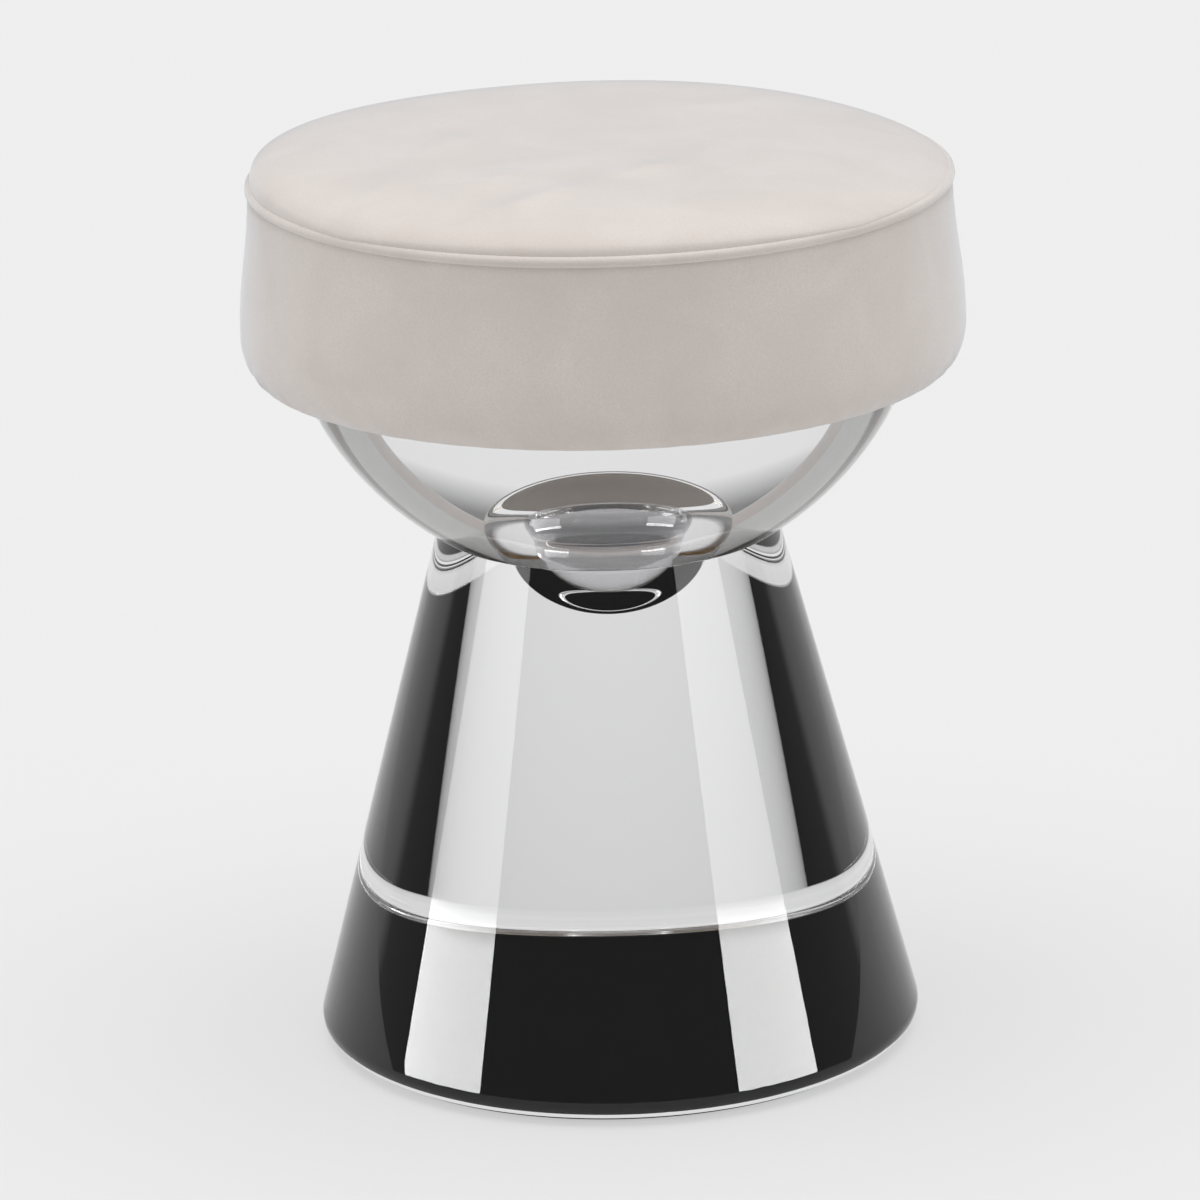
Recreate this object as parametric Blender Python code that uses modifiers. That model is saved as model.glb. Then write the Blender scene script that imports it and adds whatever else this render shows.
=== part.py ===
"""Acrylic stool: a clear cone and a clear half-ball, joined at a neck, under a round piped cushion.

Metres, +Z up. The origin is on the floor, under the middle of the stool.
"""
import math

import bmesh
import bpy
from mathutils import Matrix, Vector

# Shared fits
TOUCH_GAP = 0.0003
ROUND_SIDES = 40
SMALL_SIDES = 12
WELT_SIDES = 10
MERGE_DISTANCE = 0.00001
CUT_OVERSHOOT = 0.005
ACRYLIC_IOR = 1.49

# Floor ring and black disc
FELT_THICKNESS = 0.001
FELT_INSET = 0.004
FELT_WIDTH = 0.040
DISC_THICKNESS = 0.001

# Cone and half-ball; the base radius is where the taper would meet the flat underside, before rounding
BASE_RADIUS = 0.1568
BASE_EDGE_RADIUS = 0.009
NECK_RADIUS = 0.0865
NECK_HEIGHT = 0.2668
BALL_RADIUS = 0.1655
BALL_HEIGHT = 0.0915

# Plug that pins the half-ball to the cone
PLUG_HEAD_RADIUS = 0.041
PLUG_HEAD_DOME = 0.019
PLUG_HEAD_RISE = 0.048
PLUG_FLARE = 0.022
PLUG_SHANK_RADIUS = 0.034
PLUG_SHANK_DEPTH = 0.014
PLUG_END_LENGTH = 0.032

# Seat board and its screws
BOARD_OVERHANG = 0.012
BOARD_THICKNESS = 0.015
SCREW_COUNT = 4
SCREW_CIRCLE_RADIUS = 0.100
SCREW_SHANK_RADIUS = 0.002
SCREW_HEAD_RADIUS = 0.0036
SCREW_HEAD_HEIGHT = 0.003
SCREW_REACH = 0.006
WASHER_RADIUS = 0.0055
WASHER_THICKNESS = 0.0008
COUNTERBORE_DEPTH = 0.006
COUNTERBORE_CLEARANCE = 0.001
INSERT_RADIUS = 0.004
INSERT_LENGTH = 0.008

# Cushion
COVER_THICKNESS = 0.0012
EDGE_WRAP = 0.0058
BAND_SWELL = 0.0067
BAND_TOP_DRAW_IN = 0.0060
BAND_UPPER_HEIGHT = 0.069
BAND_LOWER_HEIGHT = 0.0204
HEM_RISE = 0.0026
HEM_WIDTH = 0.008
WELT_BEAD_RADIUS = 0.00275
WELT_INSET = 0.0011
CROWN_HEIGHT = 0.0175
CROWN_POWER = 8
WADDING_THICKNESS = 0.008
FOAM_SHOULDER = 0.008

# Staples and underside cloth
STAPLE_COUNT = 12
STAPLE_WIDTH = 0.010
STAPLE_LEG = 0.006
STAPLE_WIRE_RADIUS = 0.0006
STAPLE_HEM_SHARE = 0.5
CLOTH_THICKNESS = 0.0006
CLOTH_BALL_CLEARANCE = 0.0007

# Heights of the stacked pieces
DISC_BOTTOM = FELT_THICKNESS + TOUCH_GAP
DISC_TOP = DISC_BOTTOM + DISC_THICKNESS
CONE_BOTTOM = DISC_TOP + TOUCH_GAP
NECK_Z = CONE_BOTTOM + NECK_HEIGHT
BALL_CENTRE_Z = NECK_Z + math.sqrt(BALL_RADIUS ** 2 - NECK_RADIUS ** 2)
PLUG_HEAD_Z = NECK_Z + PLUG_HEAD_RISE
BALL_TOP = NECK_Z + BALL_HEIGHT
BALL_TOP_RADIUS = math.sqrt(BALL_RADIUS ** 2 - (BALL_CENTRE_Z - BALL_TOP) ** 2)
BOARD_BOTTOM = BALL_TOP + TOUCH_GAP
BOARD_TOP = BOARD_BOTTOM + BOARD_THICKNESS
HEM_TOP = BOARD_BOTTOM - TOUCH_GAP
HEM_BOTTOM = HEM_TOP - COVER_THICKNESS
BAND_BOTTOM = HEM_BOTTOM - HEM_RISE
BAND_WIDEST_Z = BAND_BOTTOM + BAND_LOWER_HEIGHT
BAND_TOP = BAND_WIDEST_Z + BAND_UPPER_HEIGHT
WELT_Z = BAND_TOP + TOUCH_GAP + WELT_BEAD_RADIUS
PANEL_EDGE_Z = WELT_Z + COVER_THICKNESS
WADDING_DROP = COVER_THICKNESS + TOUCH_GAP
FOAM_DROP = WADDING_DROP + WADDING_THICKNESS + TOUCH_GAP
COUNTERBORE_FLOOR = BOARD_TOP - COUNTERBORE_DEPTH
STAPLE_CROWN_Z = HEM_BOTTOM - TOUCH_GAP - STAPLE_WIRE_RADIUS
STAPLE_TOP = BOARD_BOTTOM + STAPLE_LEG
CLOTH_TOP = STAPLE_CROWN_Z - STAPLE_WIRE_RADIUS - TOUCH_GAP

# Taper of the cone and the round where it turns to its flat underside
TAPER_ANGLE = math.atan((BASE_RADIUS - NECK_RADIUS) / NECK_HEIGHT)
EDGE_SETBACK = BASE_EDGE_RADIUS * (1 + math.sin(TAPER_ANGLE)) / math.cos(TAPER_ANGLE)
UNDERSIDE_RADIUS = BASE_RADIUS - EDGE_SETBACK

# Radii that follow from their neighbours
BOARD_RADIUS = BALL_TOP_RADIUS + BOARD_OVERHANG
HEM_INNER_RADIUS = BOARD_RADIUS - HEM_WIDTH
BAND_BOTTOM_RADIUS = BOARD_RADIUS + EDGE_WRAP
BAND_WIDEST_RADIUS = BAND_BOTTOM_RADIUS + BAND_SWELL
BAND_TOP_RADIUS = BAND_WIDEST_RADIUS - BAND_TOP_DRAW_IN
WELT_RADIUS = BAND_TOP_RADIUS - WELT_INSET
SCREW_HOLE_RADIUS = SCREW_SHANK_RADIUS + TOUCH_GAP
STAPLE_RADIUS = BOARD_RADIUS - HEM_WIDTH * STAPLE_HEM_SHARE
PANEL_RADIUS = WELT_RADIUS - WELT_BEAD_RADIUS - TOUCH_GAP


def clear_scene():
    """Remove whatever the opened file holds."""
    for item in list(bpy.data.objects):
        bpy.data.objects.remove(item, do_unlink=True)


def new_collection(name):
    """Make a collection in the scene."""
    collection = bpy.data.collections.new(name)
    bpy.context.scene.collection.children.link(collection)
    return collection


def material(name, colour, roughness, metallic=0.0, transmission=0.0):
    """Make a Principled material from a linear colour."""
    result = bpy.data.materials.new(name)
    result.use_nodes = True
    shader = result.node_tree.nodes["Principled BSDF"]
    shader.inputs["Base Color"].default_value = (*colour, 1.0)
    shader.inputs["Roughness"].default_value = roughness
    shader.inputs["Metallic"].default_value = metallic
    shader.inputs["Transmission Weight"].default_value = transmission
    shader.inputs["IOR"].default_value = ACRYLIC_IOR
    return result


def add_object(name, data, surface, collection):
    """Put mesh or curve data in a collection as a named piece."""
    piece = bpy.data.objects.new(name, data)
    if surface:
        data.materials.append(surface)
    collection.objects.link(piece)
    return piece


def turned(name, profile, surface, closed=False, sides=ROUND_SIDES):
    """Turn a profile of (radius, height) points about Z; its outer side runs downwards."""
    count = len(profile)
    edges = [(i, i + 1) for i in range(count - 1)]
    if closed:
        edges.append((count - 1, 0))
    mesh = bpy.data.meshes.new(name)
    mesh.from_pydata([(radius, 0.0, height) for radius, height in profile], edges, [])
    piece = add_object(name, mesh, surface, PARTS)
    screw = piece.modifiers.new("Turn", "SCREW")
    screw.steps = sides
    screw.render_steps = sides
    screw.use_merge_vertices = True
    screw.merge_threshold = MERGE_DISTANCE
    screw.use_smooth_shade = True
    return piece


def arc(steps, start, end):
    """Angles from start to end, both included."""
    return [start + (end - start) * i / steps for i in range(steps + 1)]


def ring_profile(inner, outer, bottom, top):
    """A plain rectangular ring section."""
    return [(outer, top), (outer, bottom), (inner, bottom), (inner, top)]


def cut(piece, cutter):
    """Take the cutter's bodies out of a piece."""
    boolean = piece.modifiers.new("Cut", "BOOLEAN")
    boolean.operation = "DIFFERENCE"
    boolean.solver = "EXACT"
    boolean.object = cutter


def cutter_object(name, mesh_builder):
    """Make a cutter from a bmesh that the builder fills."""
    shape = bmesh.new()
    mesh_builder(shape)
    mesh = bpy.data.meshes.new(name)
    shape.to_mesh(mesh)
    shape.free()
    cutter = add_object(name, mesh, None, CUTTERS)
    cutter.hide_render = True
    cutter.display_type = "WIRE"
    return cutter


def add_cylinder(shape, radius, bottom, top, centre):
    """Add an upright cylinder to a bmesh."""
    place = Matrix.Translation((centre.x, centre.y, (bottom + top) / 2))
    bmesh.ops.create_cone(shape, cap_ends=True, segments=SMALL_SIDES, radius1=radius, radius2=radius,
                          depth=top - bottom, matrix=place)


def screw_places():
    """Plan positions of the seat screws."""
    quarter = 2 * math.pi / SCREW_COUNT
    angles = [quarter * (i + 0.5) for i in range(SCREW_COUNT)]
    return [Vector((math.cos(a), math.sin(a), 0.0)) * SCREW_CIRCLE_RADIUS for a in angles]


def staple_angles():
    """Directions of the hem staples."""
    return [2 * math.pi * i / STAPLE_COUNT for i in range(STAPLE_COUNT)]


def ball_radius(height):
    """Radius of the half-ball's outer surface at a height."""
    return math.sqrt(BALL_RADIUS ** 2 - (BALL_CENTRE_Z - height) ** 2)


def crown_height(radius):
    """Height of the cushion's top surface at a radius."""
    return PANEL_EDGE_Z + CROWN_HEIGHT * (1 - (radius / PANEL_RADIUS) ** CROWN_POWER)


def plug_dome(grow, steps=7):
    """Section of the plug's domed head, from its top down to its widest point."""
    height = PLUG_HEAD_DOME + grow
    radius = PLUG_HEAD_RADIUS + grow
    return [(radius * math.sin(a), PLUG_HEAD_Z + height * math.cos(a)) for a in arc(steps, 0, math.pi / 2)]


def plug_flare(grow, steps=5):
    """Section of the plug from its widest point down to the shank."""
    points = []
    for turn in arc(steps, 0, math.pi):
        share = 0.5 + 0.5 * math.cos(turn)
        radius = PLUG_SHANK_RADIUS + (PLUG_HEAD_RADIUS - PLUG_SHANK_RADIUS) * share + grow
        points.append((radius, PLUG_HEAD_Z - PLUG_FLARE * turn / math.pi))
    return points


def plug_end(grow, steps=6):
    """Section of the plug's round lower end, from the shank down to its tip."""
    start = NECK_Z - PLUG_SHANK_DEPTH
    length = PLUG_END_LENGTH + grow
    radius = PLUG_SHANK_RADIUS + grow
    return [(radius * math.cos(a), start - length * math.sin(a)) for a in arc(steps, 0, math.pi / 2)]


def on_axis(points):
    """Set the end points of a turned section exactly on the axis."""
    first = (0.0, points[0][1])
    last = (0.0, points[-1][1])
    return [first] + points[1:-1] + [last]


def make_floor_felt_ring():
    """Felt ring that the stool stands on."""
    outer = UNDERSIDE_RADIUS - FELT_INSET
    turned("floor_felt_ring", ring_profile(outer - FELT_WIDTH, outer, 0.0, FELT_THICKNESS), FELT, True)


def make_black_base_disc():
    """Thin black disc cemented to the cone's flat underside, out to where the round begins."""
    edge = [(UNDERSIDE_RADIUS, DISC_TOP), (UNDERSIDE_RADIUS, DISC_BOTTOM)]
    turned("black_base_disc", [(0.0, DISC_TOP)] + edge + [(0.0, DISC_BOTTOM)], BLACK_ACRYLIC)


def rounded_base_edge(steps=6):
    """Section of the cone's rounded bottom edge, from the taper down to the flat underside."""
    points = []
    for a in arc(steps, TAPER_ANGLE, -math.pi / 2):
        radius = UNDERSIDE_RADIUS + BASE_EDGE_RADIUS * math.cos(a)
        points.append((radius, CONE_BOTTOM + BASE_EDGE_RADIUS + BASE_EDGE_RADIUS * math.sin(a)))
    return points


def make_cone_base():
    """Solid clear cone with a rounded bottom edge and a round-bottomed socket for the plug."""
    socket = list(reversed(plug_end(TOUCH_GAP)))
    rim = (PLUG_SHANK_RADIUS + TOUCH_GAP, NECK_Z)
    outside = [(NECK_RADIUS, NECK_Z)] + rounded_base_edge() + [(0.0, CONE_BOTTOM)]
    turned("cone_base", on_axis(socket + [rim] + outside), CLEAR_ACRYLIC)


def make_neck_plug():
    """Clear headed plug that pins the half-ball to the cone."""
    turned("neck_plug", on_axis(plug_dome(0.0) + plug_flare(0.0)[1:] + plug_end(0.0)), CLEAR_ACRYLIC)


def ball_side(bottom, top, steps):
    """Section of the half-ball's outer surface, from top to bottom."""
    heights = [top + (bottom - top) * i / steps for i in range(steps + 1)]
    return [(ball_radius(height), height) for height in heights]


def make_half_ball_lower():
    """Lower slab of the half-ball, with a flared hole that the plug drops through."""
    bottom = NECK_Z + TOUCH_GAP
    hole = list(reversed(plug_flare(TOUCH_GAP)))
    foot = (PLUG_SHANK_RADIUS + TOUCH_GAP, bottom)
    turned("half_ball_lower", ball_side(bottom, PLUG_HEAD_Z, 6) + [foot] + hole, CLEAR_ACRYLIC, True)


def make_half_ball_upper():
    """Upper slab of the half-ball, hollowed over the plug's head and drilled for the inserts."""
    bottom = PLUG_HEAD_Z + TOUCH_GAP
    recess = [(radius, height + TOUCH_GAP) for radius, height in reversed(plug_dome(TOUCH_GAP))]
    profile = [(0.0, BALL_TOP)] + ball_side(bottom, BALL_TOP, 5) + recess
    slab = turned("half_ball_upper", on_axis(profile), CLEAR_ACRYLIC)

    def holes(shape):
        for place in screw_places():
            floor = BALL_TOP - INSERT_LENGTH - TOUCH_GAP
            add_cylinder(shape, INSERT_RADIUS + TOUCH_GAP, floor, BALL_TOP + CUT_OVERSHOOT, place)

    cut(slab, cutter_object("insert_holes", holes))


def make_seat_board():
    """Plywood board under the cushion, counterbored for the screws and pierced by the staples."""
    edge = [(BOARD_RADIUS, BOARD_TOP), (BOARD_RADIUS, BOARD_BOTTOM)]
    profile = [(0.0, BOARD_TOP)] + edge + [(0.0, BOARD_BOTTOM)]
    board = turned("seat_board", profile, PLYWOOD)

    def counterbores(shape):
        for place in screw_places():
            radius = WASHER_RADIUS + COUNTERBORE_CLEARANCE
            add_cylinder(shape, radius, COUNTERBORE_FLOOR, BOARD_TOP + CUT_OVERSHOOT, place)

    def through_holes(shape):
        for place in screw_places():
            bottom = BOARD_BOTTOM - CUT_OVERSHOOT
            add_cylinder(shape, SCREW_HOLE_RADIUS, bottom, BOARD_TOP + CUT_OVERSHOOT, place)

    cut(board, cutter_object("washer_counterbores", counterbores))
    cut(board, cutter_object("screw_holes", through_holes))
    cut(board, STAPLE_HOLES)


def make_fixings():
    """Threaded inserts, washers and screws, one set at each screw place."""
    washer_bottom = COUNTERBORE_FLOOR + TOUCH_GAP
    head_bottom = washer_bottom + WASHER_THICKNESS + TOUCH_GAP
    head_top = head_bottom + SCREW_HEAD_HEIGHT
    tip = BALL_TOP - SCREW_REACH
    insert = ring_profile(SCREW_HOLE_RADIUS, INSERT_RADIUS, BALL_TOP - INSERT_LENGTH, BALL_TOP)
    washer = ring_profile(SCREW_HOLE_RADIUS, WASHER_RADIUS, washer_bottom, washer_bottom + WASHER_THICKNESS)
    screw = [(0.0, head_top), (SCREW_HEAD_RADIUS, head_top), (SCREW_HEAD_RADIUS, head_bottom),
             (SCREW_SHANK_RADIUS, head_bottom), (SCREW_SHANK_RADIUS, tip), (0.0, tip)]
    for number, place in enumerate(screw_places(), 1):
        turned(f"threaded_insert_{number}", insert, BRASS, True, SMALL_SIDES).location = place
        turned(f"screw_washer_{number}", washer, STEEL, True, SMALL_SIDES).location = place
        turned(f"seat_screw_{number}", screw, STEEL, False, SMALL_SIDES).location = place


def band_upper(inset, steps=4):
    """Section of the side band from its top edge down to its widest point."""
    points = []
    for turn in arc(steps, 0, math.pi):
        share = 0.5 - 0.5 * math.cos(turn)
        radius = BAND_TOP_RADIUS + (BAND_WIDEST_RADIUS - BAND_TOP_RADIUS) * share - inset
        points.append((radius, BAND_TOP - BAND_UPPER_HEIGHT * turn / math.pi))
    return points


def band_lower(inset, steps=4):
    """Section of the side band's drawn-in lower edge, from its widest point down."""
    reach = BAND_WIDEST_RADIUS - BAND_BOTTOM_RADIUS
    height = BAND_LOWER_HEIGHT - inset
    points = []
    for a in arc(steps, 0, math.pi / 2):
        radius = BAND_BOTTOM_RADIUS + reach * math.cos(a) - inset
        points.append((radius, BAND_WIDEST_Z - height * math.sin(a)))
    return points


def make_cover_side_band():
    """Side of the cover, turned in under the board as a hem."""
    outside = band_upper(0.0) + band_lower(0.0)[1:]
    hem = [(BOARD_RADIUS, HEM_BOTTOM), (HEM_INNER_RADIUS, HEM_BOTTOM), (HEM_INNER_RADIUS, HEM_TOP),
           (BOARD_RADIUS, HEM_TOP)]
    inside = list(reversed(band_upper(COVER_THICKNESS) + band_lower(COVER_THICKNESS)[1:]))
    band = turned("cover_side_band", outside + hem + inside, COVER_FABRIC, True)
    cut(band, STAPLE_HOLES)


def crown_section(drop, edge_radius, steps=12):
    """Section of a layer under the crown, from the middle outwards."""
    radii = [edge_radius * (1 - (1 - i / steps) ** 2) for i in range(steps + 1)]
    return [(radius, crown_height(radius) - drop) for radius in radii]


def layer_profile(drop, thickness, edge_radius):
    """Section of a domed layer of even thickness."""
    upper = crown_section(drop, edge_radius)
    lower = [(radius, height - thickness) for radius, height in reversed(upper)]
    return upper + lower


def make_cover_top_panel():
    """Top of the cover, crowned, sewn to the welt at its edge."""
    turned("cover_top_panel", on_axis(layer_profile(0.0, COVER_THICKNESS, PANEL_RADIUS)), COVER_FABRIC)


def make_top_wadding():
    """Soft layer between the cover's top and the foam."""
    edge = PANEL_RADIUS - COVER_THICKNESS
    turned("top_wadding", on_axis(layer_profile(WADDING_DROP, WADDING_THICKNESS, edge)), WADDING)


def make_welt():
    """Piped cord round the top edge, between the top panel and the side band."""
    section = [(WELT_RADIUS + WELT_BEAD_RADIUS * math.cos(a), WELT_Z - WELT_BEAD_RADIUS * math.sin(a))
               for a in arc(WELT_SIDES, 0, 2 * math.pi)[:-1]]
    turned("welt", section, COVER_FABRIC, True)


def make_foam_core():
    """Foam that fills the cover and wraps the edge of the board."""
    inset = COVER_THICKNESS + TOUCH_GAP
    shoulder = BAND_TOP_RADIUS - inset - FOAM_SHOULDER
    top = crown_section(FOAM_DROP, shoulder, 6)
    side = [point for point in band_upper(inset) if point[1] < top[-1][1] - FOAM_SHOULDER]
    skirt = band_lower(inset)[1:]
    rim = BOARD_RADIUS + TOUCH_GAP
    ceiling = BOARD_TOP + TOUCH_GAP
    recess = [(rim, HEM_TOP + TOUCH_GAP), (rim, ceiling), (0.0, ceiling)]
    turned("foam_core", on_axis(top + side + skirt + recess), FOAM)


def make_hem_staples():
    """Staples that hold the hem up to the board."""
    half = STAPLE_WIDTH / 2
    legs = STAPLE_TOP - STAPLE_CROWN_Z
    route = [(-half, legs), (-half, 0.0), (half, 0.0), (half, legs)]
    for number, angle in enumerate(staple_angles(), 1):
        wire = bpy.data.curves.new(f"hem_staple_{number:02d}", "CURVE")
        wire.dimensions = "3D"
        wire.bevel_depth = STAPLE_WIRE_RADIUS
        wire.bevel_resolution = 1
        wire.use_fill_caps = True
        spline = wire.splines.new("POLY")
        spline.points.add(len(route) - 1)
        for point, (along, height) in zip(spline.points, route):
            point.co = (0.0, along, height, 1.0)
        staple = add_object(wire.name, wire, STEEL, PARTS)
        staple.rotation_euler.z = angle
        staple.location = (STAPLE_RADIUS * math.cos(angle), STAPLE_RADIUS * math.sin(angle), STAPLE_CROWN_Z)


def staple_holes(shape):
    """Square holes that clear the staples' legs."""
    side = 2 * (STAPLE_WIRE_RADIUS + TOUCH_GAP)
    bottom = HEM_BOTTOM - COVER_THICKNESS
    height = STAPLE_TOP + TOUCH_GAP - bottom
    for angle in staple_angles():
        for along in (-STAPLE_WIDTH / 2, STAPLE_WIDTH / 2):
            place = (Matrix.Rotation(angle, 4, "Z")
                     @ Matrix.Translation((STAPLE_RADIUS, along, bottom + height / 2))
                     @ Matrix.Diagonal((side, side, height, 1.0)))
            bmesh.ops.create_cube(shape, size=1.0, matrix=place)


def make_underside_cloth():
    """Cloth ring that hides the hem and the staples, round the top of the half-ball."""
    inner = ball_radius(CLOTH_TOP) + CLOTH_BALL_CLEARANCE
    profile = ring_profile(inner, BOARD_RADIUS, CLOTH_TOP - CLOTH_THICKNESS, CLOTH_TOP)
    turned("underside_cloth", profile, PALE_CLOTH, True)


clear_scene()
PARTS = new_collection("acrylic_stool")
CUTTERS = new_collection("acrylic_stool_cutters")

CLEAR_ACRYLIC = material("clear acrylic", (1.0, 1.0, 1.0), 0.0, transmission=1.0)
BLACK_ACRYLIC = material("black acrylic", (0.012, 0.012, 0.012), 0.1)
FELT = material("black felt", (0.02, 0.02, 0.02), 1.0)
PLYWOOD = material("plywood", (0.48, 0.33, 0.19), 0.6)
BRASS = material("brass", (0.70, 0.49, 0.19), 0.3, metallic=1.0)
STEEL = material("zinc plated steel", (0.60, 0.60, 0.60), 0.35, metallic=1.0)
FOAM = material("cushion foam", (0.78, 0.74, 0.60), 0.9)
WADDING = material("polyester wadding", (0.85, 0.85, 0.83), 1.0)
COVER_FABRIC = material("greige velvet", (0.62, 0.56, 0.52), 0.9)
PALE_CLOTH = material("pale underside cloth", (0.72, 0.72, 0.70), 1.0)

STAPLE_HOLES = cutter_object("staple_holes", staple_holes)

make_floor_felt_ring()
make_black_base_disc()
make_cone_base()
make_neck_plug()
make_half_ball_lower()
make_half_ball_upper()
make_seat_board()
make_fixings()
make_foam_core()
make_top_wadding()
make_cover_side_band()
make_welt()
make_cover_top_panel()
make_hem_staples()
make_underside_cloth()
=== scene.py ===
"""Acrylic stool, dressed: a clear cone and half-ball over a black underside, with a piped velvet cushion.

Metres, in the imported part's own frame: +Z up, the origin on the floor under the middle of the stool.
"""
import math

import bmesh
import bpy
from mathutils import Matrix, Vector


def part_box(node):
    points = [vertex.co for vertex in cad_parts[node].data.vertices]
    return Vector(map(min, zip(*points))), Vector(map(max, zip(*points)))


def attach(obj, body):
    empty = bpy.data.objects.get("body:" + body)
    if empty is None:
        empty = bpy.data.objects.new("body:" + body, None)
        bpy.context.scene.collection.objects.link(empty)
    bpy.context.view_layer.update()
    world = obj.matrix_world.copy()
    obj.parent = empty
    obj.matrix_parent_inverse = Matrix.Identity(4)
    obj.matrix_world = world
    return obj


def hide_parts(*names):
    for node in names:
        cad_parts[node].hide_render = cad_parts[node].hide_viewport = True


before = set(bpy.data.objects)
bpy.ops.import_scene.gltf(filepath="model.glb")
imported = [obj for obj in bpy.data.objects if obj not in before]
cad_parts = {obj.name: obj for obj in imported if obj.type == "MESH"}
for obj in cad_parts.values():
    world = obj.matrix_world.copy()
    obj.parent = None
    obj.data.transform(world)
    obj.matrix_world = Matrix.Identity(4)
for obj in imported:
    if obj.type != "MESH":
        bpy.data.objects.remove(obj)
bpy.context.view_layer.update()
scene = bpy.context.scene


# Floor ring: a flat ring of pressed wool felt, die cut and glued under the black disc.
# It keeps the acrylic off the floor, and its cut edges are a little soft.
MM = 0.001
FELT_WIDTH = 40 * MM
FELT_EDGE = 0.4 * MM
FELT_COLOUR = "#18181a"
FELT_FIBRE_COLOUR = "#2b2b2e"
FELT_FIBRE = 0.6 * MM
ROUND_SIDES = 256
SHARP_ANGLE = 40


def colour(code):
    """Turn an sRGB hex colour to linear RGBA."""
    channels = [int(code[i:i + 2], 16) / 255 for i in (1, 3, 5)]
    linear = [c / 12.92 if c <= 0.04045 else ((c + 0.055) / 1.055) ** 2.4 for c in channels]
    return (*linear, 1.0)


def add_node(tree, kind, inputs, **settings):
    """Add a node, set its properties, and fill its sockets with values or links."""
    node = tree.nodes.new(kind)
    for name, value in settings.items():
        setattr(node, name, value)
    for name, value in inputs.items():
        if isinstance(value, bpy.types.NodeSocket):
            tree.links.new(value, node.inputs[name])
        else:
            node.inputs[name].default_value = value
    return node


def new_material(name):
    """Make a material with an empty node tree and its output node."""
    material = bpy.data.materials.new(name)
    material.use_nodes = True
    tree = material.node_tree
    tree.nodes.clear()
    return material, tree, tree.nodes.new("ShaderNodeOutputMaterial")


def turned(name, section, closed=False, sharp=SHARP_ANGLE):
    """Turn a section of (radius, height) points about Z into a smooth mesh."""
    shape = bmesh.new()
    rings = []
    turn = 2 * math.pi / ROUND_SIDES
    for radius, height in section:
        angles = [turn * i for i in range(ROUND_SIDES)] if radius > 0 else [0.0]
        points = [(radius * math.cos(a), radius * math.sin(a), height) for a in angles]
        rings.append([shape.verts.new(point) for point in points])
    pairs = list(zip(rings, rings[1:]))
    if closed:
        pairs.append((rings[-1], rings[0]))
    for upper, lower in pairs:
        for i in range(ROUND_SIDES):
            j = (i + 1) % ROUND_SIDES
            corners = [
                upper[i % len(upper)], lower[i % len(lower)],
                lower[j % len(lower)], upper[j % len(upper)]]
            shape.faces.new(dict.fromkeys(corners))
    bmesh.ops.recalc_face_normals(shape, faces=shape.faces)
    mesh = bpy.data.meshes.new(name)
    shape.to_mesh(mesh)
    shape.free()
    mesh.shade_smooth()
    mesh.set_sharp_from_angle(angle=math.radians(sharp))
    return mesh


def add_piece(name, mesh, materials, slot, *nodes):
    """Put a mesh in the scene as a piece that rides on the stool and stands for CAD nodes."""
    piece = bpy.data.objects.new(name, mesh)
    scene.collection.objects.link(piece)
    for material in materials:
        mesh.materials.append(material)
    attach(piece, "root")
    if nodes:
        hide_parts(*nodes)
    return piece


def arc(centre_radius, centre_height, radius, start, end, steps):
    """Points of a section on a circular arc, angles in degrees from the outward direction."""
    points = []
    for i in range(steps + 1):
        a = math.radians(start + (end - start) * i / steps)
        points.append((centre_radius + radius * math.cos(a), centre_height + radius * math.sin(a)))
    return points


# Pressed wool felt: matted fibres with no weave, matt, with a faint fuzz at grazing angles.
# Real fibres are 0.03 mm thick; clumps of 0.6 mm are drawn so that they show.
wool_felt, tree, output = new_material("pressed_wool_felt")
place = add_node(tree, "ShaderNodeTexCoord", {}).outputs["Object"]
fibres = add_node(tree, "ShaderNodeTexNoise", {"Vector": place, "Scale": 1 / FELT_FIBRE, "Detail": 5.0})
tone = add_node(tree, "ShaderNodeMix", {"Factor": fibres.outputs["Fac"]}, data_type="RGBA")
tone.inputs["A"].default_value = colour(FELT_COLOUR)
tone.inputs["B"].default_value = colour(FELT_FIBRE_COLOUR)
fuzz = add_node(tree, "ShaderNodeBump", {
    "Height": fibres.outputs["Fac"], "Distance": 0.2 * MM, "Strength": 0.8})
felt_shader = add_node(tree, "ShaderNodeBsdfPrincipled", {
    "Base Color": tone.outputs["Result"], "Roughness": 1.0, "Sheen Weight": 0.3, "Specular IOR Level": 0.1,
    "Normal": fuzz.outputs["Normal"]})
tree.links.new(felt_shader.outputs["BSDF"], output.inputs["Surface"])

felt_low, felt_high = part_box("floor_felt_ring")
felt_inner = felt_high.x - FELT_WIDTH
felt_section = (
    arc(felt_high.x - FELT_EDGE, felt_high.z - FELT_EDGE, FELT_EDGE, 90, 0, 4)
    + arc(felt_high.x - FELT_EDGE, felt_low.z + FELT_EDGE, FELT_EDGE, 0, -90, 4)
    + arc(felt_inner + FELT_EDGE, felt_low.z + FELT_EDGE, FELT_EDGE, -90, -180, 4)
    + arc(felt_inner + FELT_EDGE, felt_high.z - FELT_EDGE, FELT_EDGE, 180, 90, 4))
add_piece("felt_ring", turned("felt_ring", felt_section, closed=True, sharp=60), [wool_felt],
          "black_felt", "floor_felt_ring")


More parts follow.
